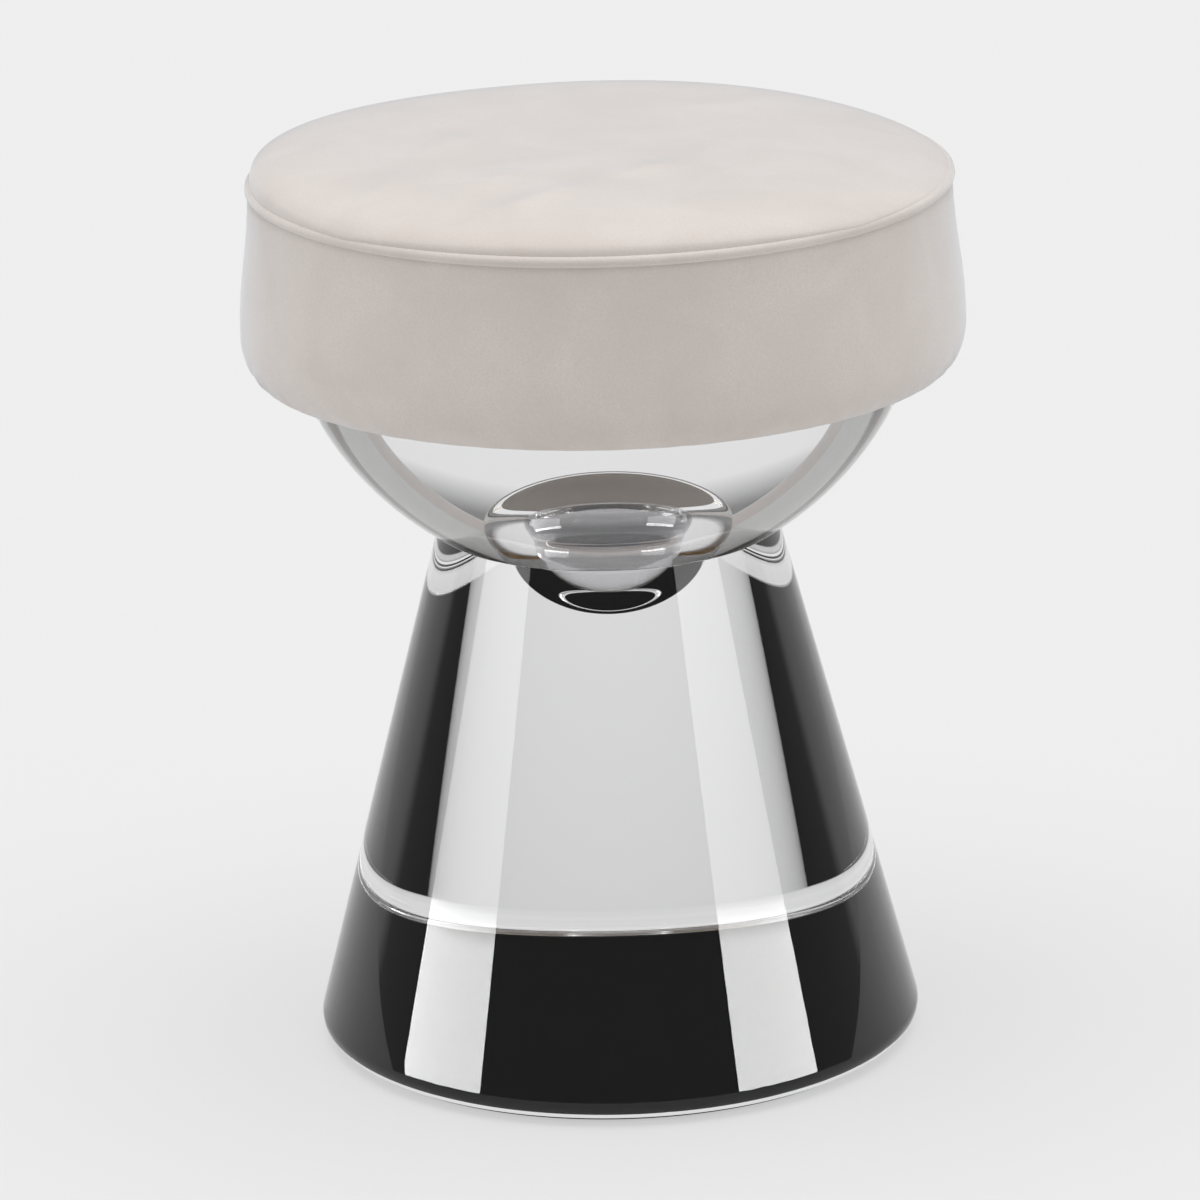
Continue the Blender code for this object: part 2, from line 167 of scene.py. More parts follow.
# Black disc: 1 mm cast acrylic sheet, cut round and cemented over the cone's flat underside.
# It ends where the cone's rounded edge begins, so the round stays clear.
DISC_EDGE = 0.2 * MM
CEMENT_GAP = 0.02 * MM
FLAT_NORMAL = 0.99
FLAT_TOLERANCE = 0.01 * MM
BLACK_COLOUR = "#0c0c0c"
BLACK_WEAR_SIZE = 14 * MM
ACRYLIC_IOR = 1.49

# Cast acrylic, black: deep and glossy, with faint wiping marks that vary the gloss.
black_acrylic, tree, output = new_material("black_cast_acrylic")
place = add_node(tree, "ShaderNodeTexCoord", {}).outputs["Object"]
wiping = add_node(tree, "ShaderNodeTexNoise", {
    "Vector": place, "Scale": 1 / BLACK_WEAR_SIZE, "Detail": 6.0})
gloss = add_node(tree, "ShaderNodeMapRange", {
    "Value": wiping.outputs["Fac"], "To Min": 0.03, "To Max": 0.09})
black_shader = add_node(tree, "ShaderNodeBsdfPrincipled", {
    "Base Color": colour(BLACK_COLOUR), "Roughness": gloss.outputs["Result"], "IOR": ACRYLIC_IOR})
tree.links.new(black_shader.outputs["BSDF"], output.inputs["Surface"])

# Cemented face of the black disc: it lies in the clear acrylic, so it has no gloss of its own.
cemented_black, tree, output = new_material("black_cast_acrylic_cemented")
place = add_node(tree, "ShaderNodeTexCoord", {}).outputs["Object"]
cloud = add_node(tree, "ShaderNodeTexNoise", {"Vector": place, "Scale": 1 / BLACK_WEAR_SIZE, "Detail": 3.0})
depth = add_node(tree, "ShaderNodeMix", {"Factor": cloud.outputs["Fac"]}, data_type="RGBA")
depth.inputs["A"].default_value = colour("#0a0a0a")
depth.inputs["B"].default_value = colour("#0e0e0e")
cemented_shader = add_node(tree, "ShaderNodeBsdfPrincipled", {
    "Base Color": depth.outputs["Result"], "Roughness": 1.0, "Specular IOR Level": 0.0})
tree.links.new(cemented_shader.outputs["BSDF"], output.inputs["Surface"])


def finish_flat(mesh, height, direction, number, reach=math.inf):
    """Give the flat faces at a height that point up (1) or down (-1) another of the mesh's materials."""
    for face in mesh.polygons:
        facing = face.normal.z * direction > FLAT_NORMAL
        level = abs(face.center.z - height) < FLAT_TOLERANCE
        if facing and level and face.center.xy.length < reach:
            face.material_index = number


cone_low, cone_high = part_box("cone_base")
disc_low, disc_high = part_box("black_base_disc")
disc_top = cone_low.z - CEMENT_GAP
disc_section = (
    [(0.0, disc_top), (disc_high.x, disc_top)]
    + arc(disc_high.x - DISC_EDGE, disc_low.z + DISC_EDGE, DISC_EDGE, 0, -90, 4)
    + [(0.0, disc_low.z)])
disc_mesh = turned("base_disc", disc_section)
finish_flat(disc_mesh, disc_top, 1, 1)
add_piece("base_disc", disc_mesh, [black_acrylic, cemented_black], "black_acrylic", "black_base_disc")


# Clear cone: cast acrylic turned to a taper and polished all over, with a round-ended socket in its top.
# Its bottom edge is a full round; its joint faces are cemented, so light does not bend there.
NECK_RADIUS = 86.5 * MM
BASE_RADIUS = 156.8 * MM
BASE_EDGE = 9 * MM
SIDE_RINGS = 24
CLEAR_COLOUR = "#f1f1f2"
PLUG_SHANK_RADIUS = 34 * MM
PLUG_SHANK_DEPTH = 14 * MM
PLUG_END_LENGTH = 32 * MM
PLUG_GAP = 0.3 * MM

# Cast acrylic, clear: no grain, polished to a mirror, and so nearly colourless that it only takes
# a little light away.
clear_acrylic, tree, output = new_material("clear_cast_acrylic")
clear_shader = add_node(tree, "ShaderNodeBsdfPrincipled", {
    "Base Color": colour(CLEAR_COLOUR), "Roughness": 0.0, "IOR": ACRYLIC_IOR, "Transmission Weight": 1.0})
tree.links.new(clear_shader.outputs["BSDF"], output.inputs["Surface"])

# Solvent cement: it melts the two acrylic faces into one, so the joint can't be seen.
clear_cement, tree, output = new_material("clear_solvent_cement")
cement_shader = add_node(tree, "ShaderNodeBsdfPrincipled", {"Base Color": colour("#ffffff"), "Alpha": 0.0})
tree.links.new(cement_shader.outputs["BSDF"], output.inputs["Surface"])

neck_height = cone_high.z


def plug_end(grow, steps=48):
    """Section of the plug's round lower end, from its tip up to the shank."""
    start = neck_height - PLUG_SHANK_DEPTH
    points = [(0.0, start - PLUG_END_LENGTH - grow)]
    for i in range(1, steps + 1):
        a = math.pi / 2 * (1 - i / steps)
        radius = (PLUG_SHANK_RADIUS + grow) * math.cos(a)
        points.append((radius, start - (PLUG_END_LENGTH + grow) * math.sin(a)))
    return points


def cone_side(end):
    """Section of the cone's straight side, with rings crowded at its end to keep its shading straight."""
    shares = [1 - (1 - i / SIDE_RINGS) ** 3 for i in range(SIDE_RINGS)]
    growth = end[0] - NECK_RADIUS
    fall = end[1] - neck_height
    return [(NECK_RADIUS + growth * share, neck_height + fall * share) for share in shares]


taper = math.degrees(math.atan((BASE_RADIUS - NECK_RADIUS) / (neck_height - cone_low.z)))
socket = plug_end(PLUG_GAP) + [(PLUG_SHANK_RADIUS + PLUG_GAP, neck_height)]
base_round = arc(disc_high.x, cone_low.z + BASE_EDGE, BASE_EDGE, taper, -90, 24)
cone_section = socket + cone_side(base_round[0]) + base_round + [(0.0, cone_low.z)]
cone_mesh = turned("clear_cone", cone_section)
finish_flat(cone_mesh, neck_height, 1, 1)
finish_flat(cone_mesh, cone_low.z, -1, 1)
add_piece("clear_cone", cone_mesh, [clear_acrylic, clear_cement], "clear_acrylic", "cone_base")


# Plug: a clear turned pin with a domed head, dropped through the half-ball's lower slab into the cone.
# It stands loose in a thin gap of air, so its outline shows as a ring and a lens in the neck.
PLUG_HEAD_RADIUS = 41 * MM
PLUG_HEAD_DOME = 19 * MM
PLUG_FLARE = 22 * MM

head_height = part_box("half_ball_lower")[1].z


def plug_dome(grow, steps=48):
    """Section of the plug's domed head, from its top down to its widest point."""
    points = [(0.0, head_height + PLUG_HEAD_DOME + grow)]
    for i in range(1, steps + 1):
        a = math.pi / 2 * i / steps
        height = head_height + (PLUG_HEAD_DOME + grow) * math.cos(a)
        points.append(((PLUG_HEAD_RADIUS + grow) * math.sin(a), height))
    return points


def plug_flare(grow, steps=32):
    """Section of the plug from its widest point down to the shank."""
    points = []
    for i in range(steps + 1):
        share = 0.5 + 0.5 * math.cos(math.pi * i / steps)
        radius = PLUG_SHANK_RADIUS + (PLUG_HEAD_RADIUS - PLUG_SHANK_RADIUS) * share + grow
        points.append((radius, head_height - PLUG_FLARE * i / steps))
    return points


plug_section = plug_dome(0.0) + plug_flare(0.0)[1:] + plug_end(0.0)[::-1]
add_piece("clear_plug", turned("clear_plug", plug_section), [clear_acrylic], "clear_acrylic", "neck_plug")


# Half-ball: two turned slabs of clear acrylic, cemented face to face round the plug's head.
# The lower slab is cemented to the cone at the neck; four brass inserts sit in holes in the upper one,
# and its flat top is painted in the middle and round the rim, with a bare ring between.
BALL_RADIUS = 165.5 * MM
INSERT_HOLE_RADIUS = 4.3 * MM
INSERT_HOLE_DEPTH = 8.3 * MM
INSERT_HOLE_SIDES = 48
DRILL_LENGTH = 20 * MM
PAINT_RADIUS = 85 * MM
MARGIN_RADIUS = 120 * MM
PAINT_STIPPLE = 3 * MM
SCREW_CIRCLE_RADIUS = 100 * MM
SCREW_COUNT = 4


def matt_paint(name, dark, light):
    """Make a matt paint with the faint stipple of a roller."""
    paint, tree, output = new_material(name)
    place = add_node(tree, "ShaderNodeTexCoord", {}).outputs["Object"]
    stipple = add_node(tree, "ShaderNodeTexNoise", {
        "Vector": place, "Scale": 1 / PAINT_STIPPLE, "Detail": 4.0})
    tone = add_node(tree, "ShaderNodeMix", {"Factor": stipple.outputs["Fac"]}, data_type="RGBA")
    tone.inputs["A"].default_value = colour(dark)
    tone.inputs["B"].default_value = colour(light)
    shader = add_node(tree, "ShaderNodeBsdfPrincipled", {
        "Base Color": tone.outputs["Result"], "Roughness": 1.0, "Specular IOR Level": 0.0})
    tree.links.new(shader.outputs["BSDF"], output.inputs["Surface"])
    return paint


# Matt backing paints, rolled on the flat top and seen from below through the acrylic with no gloss:
# greige in the middle, and pale grey round the rim.
greige_paint = matt_paint("greige_backing_paint", "#b5aca3", "#bbb2a9")
pale_paint = matt_paint("pale_backing_paint", "#dadad8", "#e2e2e0")

ball_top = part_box("half_ball_upper")[1].z
ball_centre = neck_height + math.sqrt(BALL_RADIUS ** 2 - NECK_RADIUS ** 2)


def ball_side(bottom, top, steps):
    """Section of the half-ball's outside, from top to bottom."""
    start = math.asin((top - ball_centre) / BALL_RADIUS)
    end = math.asin((bottom - ball_centre) / BALL_RADIUS)
    return arc(0.0, ball_centre, BALL_RADIUS, math.degrees(start), math.degrees(end), steps)


def screw_places():
    """Plan positions of the four seat screws."""
    quarter = 2 * math.pi / SCREW_COUNT
    angles = [quarter * (i + 0.5) for i in range(SCREW_COUNT)]
    return [Vector((math.cos(a), math.sin(a), 0.0)) * SCREW_CIRCLE_RADIUS for a in angles]


lower_section = (
    ball_side(neck_height, head_height, 64)
    + [(PLUG_SHANK_RADIUS + PLUG_GAP, neck_height)]
    + plug_flare(PLUG_GAP)[::-1])
lower_mesh = turned("clear_half_ball_lower", lower_section, closed=True)
finish_flat(lower_mesh, neck_height, -1, 1)
finish_flat(lower_mesh, head_height, 1, 1)
add_piece("clear_half_ball_lower", lower_mesh, [clear_acrylic, clear_cement], "clear_acrylic",
          "half_ball_lower")


def drill_holes(mesh, places, radius, depth, top):
    """Drill round holes down into a mesh from its flat top."""
    shape = bmesh.new()
    for place in places:
        centre = Matrix.Translation(place + Vector((0.0, 0.0, top - depth + DRILL_LENGTH / 2)))
        bmesh.ops.create_cone(
            shape, cap_ends=True, segments=INSERT_HOLE_SIDES, radius1=radius, radius2=radius,
            depth=DRILL_LENGTH, matrix=centre)
    drill_mesh = bpy.data.meshes.new("drill")
    shape.to_mesh(drill_mesh)
    shape.free()
    drill = bpy.data.objects.new("drill", drill_mesh)
    blank = bpy.data.objects.new("blank", mesh)
    for item in (drill, blank):
        scene.collection.objects.link(item)
    cut = blank.modifiers.new("Drill", "BOOLEAN")
    cut.object = drill
    drilled = bpy.data.meshes.new_from_object(blank.evaluated_get(bpy.context.evaluated_depsgraph_get()))
    for item in (drill, blank):
        bpy.data.objects.remove(item)
    drilled.set_sharp_from_angle(angle=math.radians(SHARP_ANGLE))
    return drilled


upper_section = (
    [(0.0, ball_top), (PAINT_RADIUS, ball_top), (MARGIN_RADIUS, ball_top)]
    + ball_side(head_height, ball_top, 64)
    + plug_dome(PLUG_GAP)[::-1])
upper_mesh = drill_holes(turned("clear_half_ball_upper", upper_section), screw_places(), INSERT_HOLE_RADIUS,
                         INSERT_HOLE_DEPTH, ball_top)
finish_flat(upper_mesh, head_height, -1, 1)
finish_flat(upper_mesh, ball_top, 1, 3)
finish_flat(upper_mesh, ball_top, 1, 0, MARGIN_RADIUS)
finish_flat(upper_mesh, ball_top, 1, 2, PAINT_RADIUS)
add_piece("clear_half_ball_upper", upper_mesh, [clear_acrylic, clear_cement, greige_paint, pale_paint],
          "clear_acrylic", "half_ball_upper")


# Seat board: 15 mm birch plywood, cut round, with counterbored holes for the screws.
# The cushion is built on it, and it shows only from below, through the acrylic.
PLY_THICKNESS = 1.4 * MM
PLY_GRAIN = 3 * MM
PLY_PALE = "#c9a577"
PLY_DARK = "#a97f52"

# Birch plywood: pale veneers with fine straight grain, and darker glue lines on the cut edge.
birch_plywood, tree, output = new_material("birch_plywood")
place = add_node(tree, "ShaderNodeTexCoord", {}).outputs["Object"]
stretched = add_node(tree, "ShaderNodeMapping", {"Vector": place, "Scale": (0.06, 1.0, 1.0)})
grain = add_node(tree, "ShaderNodeTexNoise", {
    "Vector": stretched.outputs["Vector"], "Scale": 1 / PLY_GRAIN, "Detail": 6.0})
layers = add_node(tree, "ShaderNodeTexWave", {"Vector": place, "Scale": 0.5 / PLY_THICKNESS},
                  bands_direction="Z")
veneer = add_node(tree, "ShaderNodeMath", {0: grain.outputs["Fac"], 1: layers.outputs["Fac"]},
                  operation="MULTIPLY")
wood_tone = add_node(tree, "ShaderNodeMix", {"Factor": veneer.outputs["Value"]}, data_type="RGBA")
wood_tone.inputs["A"].default_value = colour(PLY_PALE)
wood_tone.inputs["B"].default_value = colour(PLY_DARK)
pores = add_node(tree, "ShaderNodeBump", {"Height": grain.outputs["Fac"], "Distance": 0.1 * MM})
ply_shader = add_node(tree, "ShaderNodeBsdfPrincipled", {
    "Base Color": wood_tone.outputs["Result"], "Roughness": 0.6, "Normal": pores.outputs["Normal"]})
tree.links.new(ply_shader.outputs["BSDF"], output.inputs["Surface"])


def dress_node(name, material):
    """Give a CAD node that stays in the scene a better material."""
    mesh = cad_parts[name].data
    mesh.materials.clear()
    mesh.materials.append(material)


dress_node("seat_board", birch_plywood)


# Fixings: a brass threaded insert, a steel washer and a steel screw at each of the four places.
# The screws pass down through the board into the inserts and are covered by the foam.
TURNING_PITCH = 0.4 * MM
BRASS_COLOUR = "#c8a659"
ZINC_COLOUR = "#b9bcc0"
ZINC_SPANGLE = 2 * MM


def turned_metal(name, metal_colour, roughness):
    """Plated or turned metal: fine rings from the lathe, and gloss that varies in small patches."""
    material, tree, output = new_material(name)
    place = add_node(tree, "ShaderNodeTexCoord", {}).outputs["Object"]
    rings = add_node(tree, "ShaderNodeTexWave", {"Vector": place, "Scale": 0.5 / TURNING_PITCH},
                     bands_direction="Z")
    patches = add_node(tree, "ShaderNodeTexNoise", {"Vector": place, "Scale": 1 / ZINC_SPANGLE})
    gloss = add_node(tree, "ShaderNodeMapRange", {
        "Value": patches.outputs["Fac"], "To Min": roughness * 0.7, "To Max": roughness * 1.3})
    marks = add_node(tree, "ShaderNodeBump", {"Height": rings.outputs["Fac"], "Distance": 0.03 * MM})
    shader = add_node(tree, "ShaderNodeBsdfPrincipled", {
        "Base Color": colour(metal_colour), "Metallic": 1.0, "Roughness": gloss.outputs["Result"],
        "Normal": marks.outputs["Normal"]})
    tree.links.new(shader.outputs["BSDF"], output.inputs["Surface"])
    return material


turned_brass = turned_metal("turned_brass", BRASS_COLOUR, 0.3)
zinc_plated_steel = turned_metal("zinc_plated_steel", ZINC_COLOUR, 0.38)
for number in range(1, SCREW_COUNT + 1):
    dress_node(f"threaded_insert_{number}", turned_brass)
    dress_node(f"screw_washer_{number}", zinc_plated_steel)
    dress_node(f"seat_screw_{number}", zinc_plated_steel)


# Cushion filling: a block of cream foam on the board, and a layer of polyester wadding over it.
# Both are cut round and lie hidden inside the cover.
PANEL_RADIUS = 177.2 * MM
CROWN_HEIGHT = 17.5 * MM
CROWN_POWER = 6
CROWN_LEAN = 10 * MM
COVER_THICKNESS = 1.2 * MM
WADDING_THICKNESS = 8 * MM
LAYER_GAP = 0.3 * MM
BAND_TOP_RADIUS = 176.4 * MM
BAND_WIDEST_RADIUS = 182.4 * MM
BAND_BOTTOM_RADIUS = 175.7 * MM
BAND_UPPER_HEIGHT = 69 * MM
FOAM_SHOULDER = 8 * MM
FOAM_CELL = 1.6 * MM
WADDING_FIBRE = 2.5 * MM
WADDING_CLEARANCE = 1.2 * MM
WADDING_EDGE_INSET = 7 * MM

board_low, board_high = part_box("seat_board")
foam_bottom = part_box("foam_core")[0].z
panel_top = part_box("cover_top_panel")[1].z
band_low, band_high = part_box("cover_side_band")
band_widest_height = band_high.z - BAND_UPPER_HEIGHT


def fullness(radius):
    """How full the cushion is at a radius: 1 in the middle, rounding over to 0 at the edge."""
    return math.sqrt(max(0.0, 1 - (radius / PANEL_RADIUS) ** CROWN_POWER))


def crown(radius):
    """Height of the cushion's top at a radius."""
    return panel_top - CROWN_HEIGHT * (1 - fullness(radius))


def lean(x, y):
    """How much higher the filling has settled at a place: up on one side, down on the other."""
    return -CROWN_LEAN * (x / PANEL_RADIUS) ** 3 * fullness(math.hypot(x, y))


def lean_layer(mesh, lowest):
    """Settle the top of a layer of filling to one side."""
    for vertex in mesh.vertices:
        if vertex.co.z > lowest:
            vertex.co.z += lean(vertex.co.x, vertex.co.y)


def crown_line(drop, edge_radius, steps=40):
    """Section of a layer under the crown, from the middle outwards."""
    radii = [edge_radius * (1 - (1 - i / steps) ** 2) for i in range(steps + 1)]
    return [(radius, crown(radius) - drop) for radius in radii]


def band_upper(inset, steps):
    """Section of the cushion's side from its top edge down to its widest point."""
    points = []
    for i in range(steps + 1):
        share = 0.5 - 0.5 * math.cos(math.pi * i / steps)
        radius = BAND_TOP_RADIUS + (BAND_WIDEST_RADIUS - BAND_TOP_RADIUS) * share - inset
        points.append((radius, band_high.z - BAND_UPPER_HEIGHT * i / steps))
    return points


def band_lower(inset, steps, bottom):
    """Section of the cushion's drawn-in lower edge, from its widest point down."""
    points = []
    for i in range(steps + 1):
        a = math.pi / 2 * i / steps
        radius = BAND_BOTTOM_RADIUS + (BAND_WIDEST_RADIUS - BAND_BOTTOM_RADIUS) * math.cos(a) - inset
        points.append((radius, band_widest_height - (band_widest_height - bottom - inset) * math.sin(a)))
    return points


# Polyurethane foam: cream, matt, with open cells, and painted shade in the cell pits.
# Real cells are 0.6 mm; 1.6 mm are drawn so that they show.
cream_foam, tree, output = new_material("cream_polyurethane_foam")
place = add_node(tree, "ShaderNodeTexCoord", {}).outputs["Object"]
cells = add_node(tree, "ShaderNodeTexVoronoi", {"Vector": place, "Scale": 1 / FOAM_CELL})
pits = add_node(tree, "ShaderNodeBump", {"Height": cells.outputs["Distance"], "Distance": 0.5 * MM})
# Painted shade: the cream is mixed darker towards the bottom of each cell pit.
pit_shaded_foam_tone = add_node(tree, "ShaderNodeMix", {"Factor": cells.outputs["Distance"]}, data_type="RGBA")
pit_shaded_foam_tone.inputs["A"].default_value = colour("#d9cfa8")
pit_shaded_foam_tone.inputs["B"].default_value = colour("#ece4c6")
foam_shader = add_node(tree, "ShaderNodeBsdfPrincipled", {
    "Base Color": pit_shaded_foam_tone.outputs["Result"], "Roughness": 0.95, "Specular IOR Level": 0.2,
    "Normal": pits.outputs["Normal"]})
tree.links.new(foam_shader.outputs["BSDF"], output.inputs["Surface"])

# Polyester wadding: white crimped fibres laid in all directions, with no surface gloss.
white_wadding, tree, output = new_material("white_polyester_wadding")
place = add_node(tree, "ShaderNodeTexCoord", {}).outputs["Object"]
strands = add_node(tree, "ShaderNodeTexNoise", {
    "Vector": place, "Scale": 1 / WADDING_FIBRE, "Detail": 8.0, "Distortion": 1.5})
loft = add_node(tree, "ShaderNodeBump", {"Height": strands.outputs["Fac"], "Distance": 1 * MM})
wadding_tone = add_node(tree, "ShaderNodeMix", {"Factor": strands.outputs["Fac"]}, data_type="RGBA")
wadding_tone.inputs["A"].default_value = colour("#dcdcd8")
wadding_tone.inputs["B"].default_value = colour("#f4f4f1")
wadding_shader = add_node(tree, "ShaderNodeBsdfPrincipled", {
    "Base Color": wadding_tone.outputs["Result"], "Roughness": 1.0, "Sheen Weight": 0.4,
    "Normal": loft.outputs["Normal"]})
tree.links.new(wadding_shader.outputs["BSDF"], output.inputs["Surface"])

wadding_drop = COVER_THICKNESS + WADDING_CLEARANCE
foam_drop = wadding_drop + WADDING_THICKNESS + LAYER_GAP
foam_top = crown_line(foam_drop, BAND_TOP_RADIUS - wadding_drop - FOAM_SHOULDER)
foam_side = [p for p in band_upper(wadding_drop, 24) if p[1] < foam_top[-1][1] - FOAM_SHOULDER]
foam_skirt = band_lower(wadding_drop, 12, foam_bottom - wadding_drop)[1:]
board_rim = board_high.x + LAYER_GAP
recess_top = board_high.z + LAYER_GAP
foam_recess = [(board_rim, board_low.z), (board_rim, recess_top), (0.0, recess_top)]
foam_mesh = turned("foam_block", foam_top + foam_side + foam_skirt + foam_recess)
lean_layer(foam_mesh, foam_top[-1][1] - LAYER_GAP)
foam_block = add_piece("foam_block", foam_mesh, [cream_foam], "cushion_foam", "foam_core")

wadding_top = crown_line(wadding_drop, PANEL_RADIUS - WADDING_EDGE_INSET)
wadding_under = [(radius, height - WADDING_THICKNESS) for radius, height in wadding_top[::-1]]
wadding_mesh = turned("wadding_layer", wadding_top + wadding_under)
lean_layer(wadding_mesh, wadding_under[0][1] - LAYER_GAP)
wadding_layer = add_piece("wadding_layer", wadding_mesh, [white_wadding], "polyester_wadding",
                          "top_wadding")


# Cover: greige velvet, a round top panel and a side band sewn together at the welt and pulled tight.
# The band is drawn in under the board and stapled there as a hem.
PANEL_CELLS = 64
PANEL_FACES = PANEL_CELLS ** 2
SEAM_RADIUS = 175.0 * MM
EDGE_CROWDING = 0.6
RIM_SHARE = 0.999
TINY = 1e-9
SEAM_DEPTH = 1.45 * MM
BAND_STEPS = 13
LOWER_STEPS = 7
HEM_STEPS = 3
HEM_WIDTH = 8 * MM
SWELL_ALLOWANCE = 0.8 * MM
BAND_ALLOWANCE = 0.32 * MM
BAND_SEAM_WIDTH = 1.2 * MM
BAND_SEAM_DROP = 0.6 * MM
SWELL_LIMIT = 3 * MM
CLOTH_FRAMES = 20
CLOTH_QUALITY = 6
CLOTH_PRESSURE = 1.0
CLOTH_SLACK = -0.002
CLOTH_BENDING = 5.0
CLOTH_CLEARANCE = 1 * MM
CREASE_HEIGHT = 1.8 * MM
CREASE_WIDTH = 7 * MM
CREASES = [
    ((-120 * MM, -129 * MM), (-93 * MM, -60 * MM)),
    ((-89 * MM, -40 * MM), (-67 * MM, 16 * MM)),
    ((-71 * MM, -158 * MM), (1 * MM, -85 * MM)),
    ((3 * MM, -85 * MM), (50 * MM, -40 * MM)),
    ((-63 * MM, -105 * MM), (-39 * MM, -60 * MM))]
VELVET_COLOUR = "#e3dbd5"
VELVET_SHADE_COLOUR = "#d7cdc6"
VELVET_SHEEN_COLOUR = "#edf4fb"
VELVET_PILE = 0.9 * MM
VELVET_BRUSHED_PATCH = 45 * MM

# Cotton velvet: a short dense pile, matt and deep where it is seen end on, pale where it is seen along.
# Brushing lays it in soft cloudy patches. Tufts are 0.3 mm; 0.9 mm are drawn so that they show.
greige_velvet, tree, output = new_material("greige_cotton_velvet")
place = add_node(tree, "ShaderNodeTexCoord", {}).outputs["Object"]
brushed = add_node(tree, "ShaderNodeTexNoise", {
    "Vector": place, "Scale": 1 / VELVET_BRUSHED_PATCH, "Detail": 4.0, "Distortion": 0.6})
pile = add_node(tree, "ShaderNodeTexNoise", {"Vector": place, "Scale": 1 / VELVET_PILE, "Detail": 3.0})
mottle = add_node(tree, "ShaderNodeMath", {0: brushed.outputs["Fac"], 1: pile.outputs["Fac"]},
                  operation="MULTIPLY")
patch = add_node(tree, "ShaderNodeMapRange", {
    "Value": mottle.outputs["Value"], "From Min": 0.1, "From Max": 0.45})
velvet_tone = add_node(tree, "ShaderNodeMix", {"Factor": patch.outputs["Result"]}, data_type="RGBA")
velvet_tone.inputs["A"].default_value = colour(VELVET_SHADE_COLOUR)
velvet_tone.inputs["B"].default_value = colour(VELVET_COLOUR)
tufts = add_node(tree, "ShaderNodeBump", {
    "Height": pile.outputs["Fac"], "Distance": 0.12 * MM, "Strength": 0.5})
velvet_shader = add_node(tree, "ShaderNodeBsdfPrincipled", {
    "Base Color": velvet_tone.outputs["Result"], "Roughness": 0.95, "Specular IOR Level": 0.15,
    "Sheen Weight": 1.0, "Sheen Roughness": 0.4, "Sheen Tint": colour(VELVET_SHEEN_COLOUR),
    "Normal": tufts.outputs["Normal"]})
tree.links.new(velvet_shader.outputs["BSDF"], output.inputs["Surface"])

welt_low, welt_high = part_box("welt")
welt_height = (welt_low.z + welt_high.z) / 2
seam_height = welt_height - SEAM_DEPTH
hem_height = board_low.z - LAYER_GAP - COVER_THICKNESS


def disc_point(across, along):
    """Spread a point of the square from -1 to 1 over the round panel, closer together near its edge."""
    x = across * math.sqrt(1 - along * along / 2)
    y = along * math.sqrt(1 - across * across / 2)
    out = math.hypot(x, y)
    if out > RIM_SHARE:
        return Vector((x * SEAM_RADIUS, y * SEAM_RADIUS, seam_height))
    crowded = (1 - EDGE_CROWDING) * out + EDGE_CROWDING * math.sin(math.pi / 2 * out)
    spread = PANEL_RADIUS * crowded / max(out, TINY)
    height = crown(PANEL_RADIUS * crowded) + lean(x * spread, y * spread) - SWELL_ALLOWANCE
    return Vector((x * spread, y * spread, height))


def edge_cells():
    """Grid places round the edge of the panel, anticlockwise from one corner."""
    n = PANEL_CELLS
    return ([(i, 0) for i in range(n)] + [(n, i) for i in range(n)]
            + [(n - i, n) for i in range(n)] + [(0, n - i) for i in range(n)])


band_section = (
    [(SEAM_RADIUS + BAND_SEAM_WIDTH, seam_height - BAND_SEAM_DROP)]
    + [(radius - BAND_ALLOWANCE, height) for radius, height in band_upper(0.0, BAND_STEPS)[1:]]
    + band_lower(0.0, LOWER_STEPS, band_low.z)[1:]
    + [(board_high.x - HEM_WIDTH * i / HEM_STEPS, hem_height) for i in range(HEM_STEPS + 1)])

shape = bmesh.new()
grid = {}
for i in range(PANEL_CELLS + 1):
    for j in range(PANEL_CELLS + 1):
        grid[i, j] = shape.verts.new(disc_point(2 * i / PANEL_CELLS - 1, 2 * j / PANEL_CELLS - 1))
for i in range(PANEL_CELLS):
    for j in range(PANEL_CELLS):
        shape.faces.new((grid[i, j], grid[i + 1, j], grid[i + 1, j + 1], grid[i, j + 1]))
ring = [grid[cell] for cell in edge_cells()]
seam_ring = ring
directions = [Vector((v.co.x, v.co.y, 0.0)).normalized() for v in ring]
for radius, height in band_section:
    lower_ring = [shape.verts.new(d * radius + Vector((0.0, 0.0, height))) for d in directions]
    for k in range(len(ring)):
        m = (k + 1) % len(ring)
        shape.faces.new((ring[k], lower_ring[k], lower_ring[m], ring[m]))
    ring = lower_ring
bmesh.ops.recalc_face_normals(shape, faces=shape.faces)
shape.verts.index_update()
held_points = [v.index for v in seam_ring] + [v.index for v in ring]
cover_mesh = bpy.data.meshes.new("cover")
shape.to_mesh(cover_mesh)
shape.free()


